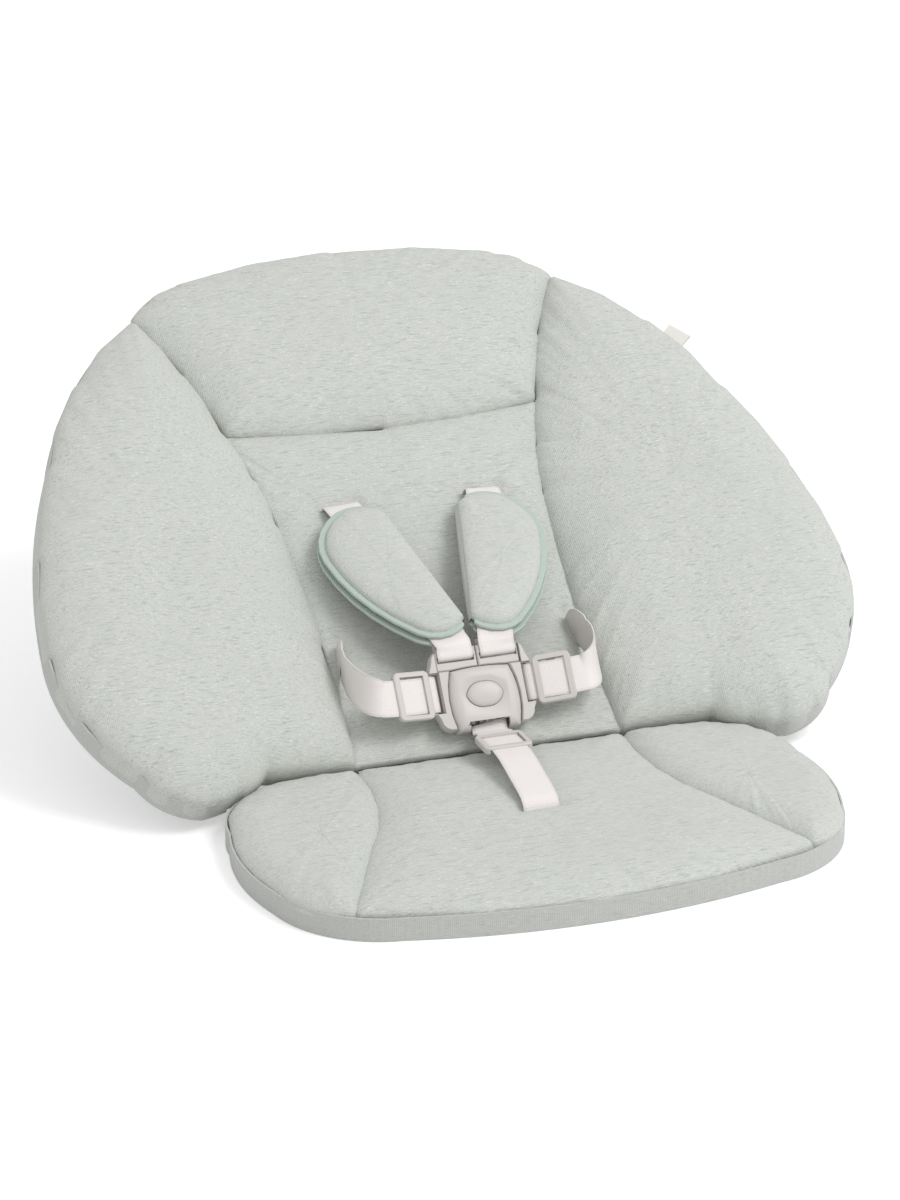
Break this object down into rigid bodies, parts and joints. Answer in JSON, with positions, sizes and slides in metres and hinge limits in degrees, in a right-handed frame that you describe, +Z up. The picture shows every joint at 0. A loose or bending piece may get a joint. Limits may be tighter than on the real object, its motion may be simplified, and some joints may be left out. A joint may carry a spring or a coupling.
{
  "type": "padded high chair insert with harness",
  "caption": "Padded newborn seat insert for a high chair, with quilted seat, reclined back, folding side wings and a five-point harness closed by a centre buckle.",
  "frame": {"origin": "on the ground under the middle of the crease between seat and back, at the rear edge of the seat's underside", "axes": "+X to the right as the viewer of the front sees it, +Y to the back, along which the back reclines, +Z up"},
  "size_m": [0.5808, 0.6094, 0.2578],
  "materials": {
    "melange_knit": "matte",
    "gusset_jersey": "matte",
    "rear_cloth": "matte",
    "pad_knit": "matte",
    "binding": "matte",
    "foam": "matte",
    "stiffener": "matte",
    "board_plastic": "matte",
    "bar_plastic": "satin",
    "webbing": "satin",
    "buckle_plastic": "satin",
    "button_plastic": "satin",
    "spring_steel": "satin",
    "label_satin": "satin"
  },
  "bodies": {
    "seat": {"seat_base_cover": "rear_cloth", "seat_foam": "foam", "seat_board": "board_plastic", "seat_centre_pad": "melange_knit", "seat_right_pad": "melange_knit", "seat_left_pad": "melange_knit", "seat_gusset": "gusset_jersey", "crotch_anchor_bar": "bar_plastic", "crotch_strap": "webbing", "fold_tape": "rear_cloth"},
    "back": {"rear_cover": "rear_cloth", "back_foam": "foam", "back_board": "stiffener", "back_centre_pad": "melange_knit", "head_pad": "melange_knit", "head_gusset": "gusset_jersey", "shoulder_anchor_right": "bar_plastic", "shoulder_anchor_left": "bar_plastic", "waist_anchor_right": "bar_plastic", "waist_anchor_left": "bar_plastic", "shoulder_strap_right": "webbing", "shoulder_strap_left": "webbing", "waist_strap_right": "webbing", "waist_strap_left": "webbing", "buckle_front_shell": "buckle_plastic", "buckle_rear_shell": "buckle_plastic", "button_spring": "spring_steel"},
    "right_wing": {"right_wing_pad": "melange_knit", "right_wing_gusset": "gusset_jersey", "right_wing_cover": "rear_cloth", "care_label": "label_satin"},
    "left_wing": {"left_wing_pad": "melange_knit", "left_wing_gusset": "gusset_jersey", "left_wing_cover": "rear_cloth"},
    "button": {"buckle_button": "button_plastic", "latch_plate": "buckle_plastic"},
    "right_latch": {"waist_tongue_right": "buckle_plastic", "shoulder_tongue_right": "buckle_plastic"},
    "left_latch": {"waist_tongue_left": "buckle_plastic", "shoulder_tongue_left": "buckle_plastic"},
    "right_slide": {"waist_slider_right": "buckle_plastic"},
    "left_slide": {"waist_slider_left": "buckle_plastic"},
    "crotch_slide": {"crotch_slider": "buckle_plastic"},
    "right_shoulder_sleeve": {"shoulder_pad_right": "pad_knit", "shoulder_binding_right": "binding"},
    "left_shoulder_sleeve": {"shoulder_pad_left": "pad_knit", "shoulder_binding_left": "binding"}
  },
  "joints": [
    {"name": "back_fold", "type": "hinge", "parent": "seat", "child": "back", "pos_m": [0, 0, 0.015], "axis": [1, 0, 0], "range_deg": [-32.5, 8], "deforming": ["crotch_strap", "fold_tape"]},
    {"name": "right_wing_fold", "type": "hinge", "parent": "back", "child": "right_wing", "pos_m": [0.097, 0, 0.015], "axis": [-0.1571, -0.8329, -0.5306], "range_deg": [-9, 14]},
    {"name": "left_wing_fold", "type": "hinge", "parent": "back", "child": "left_wing", "pos_m": [-0.097, 0, 0.015], "axis": [-0.1571, 0.8329, 0.5306], "range_deg": [-9, 14]},
    {"name": "buckle_press", "type": "slide", "parent": "back", "child": "button", "axis": [0, 0.809, -0.5878], "range_m": [0, 0.0024], "stiffness_N_per_m": 2500, "springref_m": -0.0012, "deforming": ["button_spring"]},
    {"name": "right_release", "type": "slide", "parent": "back", "child": "right_latch", "axis": [1, 0, 0], "range_m": [0, 0.016], "deforming": ["shoulder_strap_right", "waist_strap_right", "latch_plate"]},
    {"name": "left_release", "type": "slide", "parent": "back", "child": "left_latch", "axis": [-1, 0, 0], "range_m": [0, 0.016], "deforming": ["shoulder_strap_left", "waist_strap_left", "latch_plate"]},
    {"name": "right_slider_slide", "type": "slide", "parent": "right_latch", "child": "right_slide", "axis": [0.9781, -0.1682, 0.1222], "range_m": [0, 0.008]},
    {"name": "left_slider_slide", "type": "slide", "parent": "left_latch", "child": "left_slide", "axis": [-0.9781, -0.1682, 0.1222], "range_m": [0, 0.008]},
    {"name": "crotch_slider_slide", "type": "slide", "parent": "seat", "child": "crotch_slide", "axis": [0, -0.9976, 0.0698], "range_m": [-0.006, 0.008]},
    {"name": "right_shoulder_sleeve_slide", "type": "slide", "parent": "back", "child": "right_shoulder_sleeve", "axis": [0.2438, 0.9044, 0.3502], "range_m": [-0.004, 0.01]},
    {"name": "left_shoulder_sleeve_slide", "type": "slide", "parent": "back", "child": "left_shoulder_sleeve", "axis": [-0.2438, 0.9044, 0.3502], "range_m": [-0.004, 0.01]}
  ]
}
